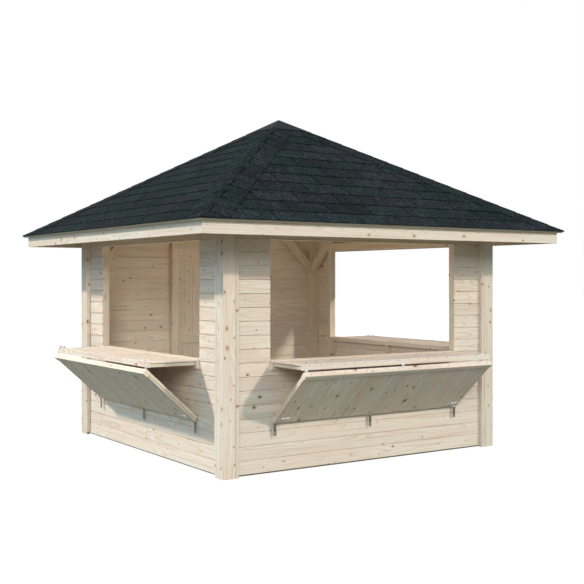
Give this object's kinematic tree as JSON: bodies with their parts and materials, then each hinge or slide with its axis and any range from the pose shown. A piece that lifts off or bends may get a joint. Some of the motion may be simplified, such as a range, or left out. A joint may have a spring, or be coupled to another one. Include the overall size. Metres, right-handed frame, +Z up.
{
  "type": "wooden market stall",
  "caption": "Square wooden market stall with fold-down counters on prop panels, a boarded back door and a shingled pyramid roof with wide eaves.",
  "frame": {"origin": "centre of the plan at ground level, under the apex", "axes": "+Z up; -Y is the front hatch wall, -X the left one, +X the right one, +Y the door wall"},
  "size_m": [4.16, 4.16, 3.3914],
  "materials": {
    "spruce_boards": "planed, untreated",
    "inner_timber": "planed, untreated",
    "base_timber": "impregnated",
    "shingles": "mineral granules on bitumen",
    "dark_metal": "satin",
    "zinc_steel": "zinc plated",
    "hasp_steel": "dull zinc"
  },
  "bodies": {
    "root": {"corner_posts": "inner_timber", "corner_boards": "spruce_boards", "base_frame": "base_timber", "window_sills": "spruce_boards", "counter_ledgers": "spruce_boards", "front_low_wall": "spruce_boards", "left_low_wall": "spruce_boards", "right_low_wall": "spruce_boards", "front_wall_sides": "spruce_boards", "front_header": "spruce_boards", "left_wall_sides": "spruce_boards", "left_header": "spruce_boards", "right_wall_sides": "spruce_boards", "right_header": "spruce_boards", "back_wall_sides": "spruce_boards", "back_header": "spruce_boards", "knee_braces": "inner_timber", "wall_plates": "inner_timber", "hip_rafters": "inner_timber", "rafters": "inner_timber", "king_block": "inner_timber", "roof_boards_front": "inner_timber", "roof_boards_right": "inner_timber", "roof_boards_back": "inner_timber", "roof_boards_left": "inner_timber", "roof_shingles": "shingles", "fascia_boards": "spruce_boards", "apex_cap": "dark_metal", "door_frame": "spruce_boards", "door_hinge_plates": "zinc_steel"},
    "front_counter": {"front_counter": "spruce_boards", "front_counter_fittings": "zinc_steel"},
    "front_strut": {"front_strut": "spruce_boards", "front_strut_fittings": "zinc_steel"},
    "front_hasps": {"front_hasps": "hasp_steel"},
    "left_counter": {"left_counter": "spruce_boards", "left_counter_fittings": "zinc_steel"},
    "left_strut": {"left_strut": "spruce_boards", "left_strut_fittings": "zinc_steel"},
    "left_hasps": {"left_hasps": "hasp_steel"},
    "right_counter": {"right_counter": "spruce_boards", "right_counter_fittings": "zinc_steel"},
    "right_strut": {"right_strut": "spruce_boards", "right_strut_fittings": "zinc_steel"},
    "right_hasps": {"right_hasps": "hasp_steel"},
    "door": {"door_leaf": "spruce_boards", "door_hinges": "zinc_steel", "door_handle": "dark_metal"}
  },
  "joints": [
    {"name": "front_counter_fold", "type": "hinge", "parent": "root", "child": "front_counter", "pos_m": [0, -1.575, 0.985], "axis": [-1, 0, 0], "range_deg": [0, 90]},
    {"name": "front_strut_fold", "type": "hinge", "parent": "front_counter", "child": "front_strut", "pos_m": [0, -2.045, 0.93], "axis": [-1, 0, 0], "range_deg": [0, 138]},
    {"name": "front_hasp_swing", "type": "hinge", "parent": "front_strut", "child": "front_hasps", "pos_m": [0, -1.57184, 0.4313], "axis": [-1, 0, 0], "range_deg": [-10, 132]},
    {"name": "left_counter_fold", "type": "hinge", "parent": "root", "child": "left_counter", "pos_m": [-1.575, 0, 0.985], "axis": [0, 1, 0], "range_deg": [0, 90]},
    {"name": "left_strut_fold", "type": "hinge", "parent": "left_counter", "child": "left_strut", "pos_m": [-2.045, 0, 0.93], "axis": [0, 1, 0], "range_deg": [0, 138]},
    {"name": "left_hasp_swing", "type": "hinge", "parent": "left_strut", "child": "left_hasps", "pos_m": [-1.57184, 0, 0.4313], "axis": [0, 1, 0], "range_deg": [-10, 132]},
    {"name": "right_counter_fold", "type": "hinge", "parent": "root", "child": "right_counter", "pos_m": [1.575, 0, 0.985], "axis": [0, -1, 0], "range_deg": [0, 90]},
    {"name": "right_strut_fold", "type": "hinge", "parent": "right_counter", "child": "right_strut", "pos_m": [2.045, 0, 0.93], "axis": [0, -1, 0], "range_deg": [0, 138]},
    {"name": "right_hasp_swing", "type": "hinge", "parent": "right_strut", "child": "right_hasps", "pos_m": [1.57184, 0, 0.4313], "axis": [0, -1, 0], "range_deg": [-10, 132]},
    {"name": "door_swing", "type": "hinge", "parent": "root", "child": "door", "pos_m": [-0.448, 1.546, 1], "axis": [0, 0, 1], "range_deg": [0, 100]}
  ]
}
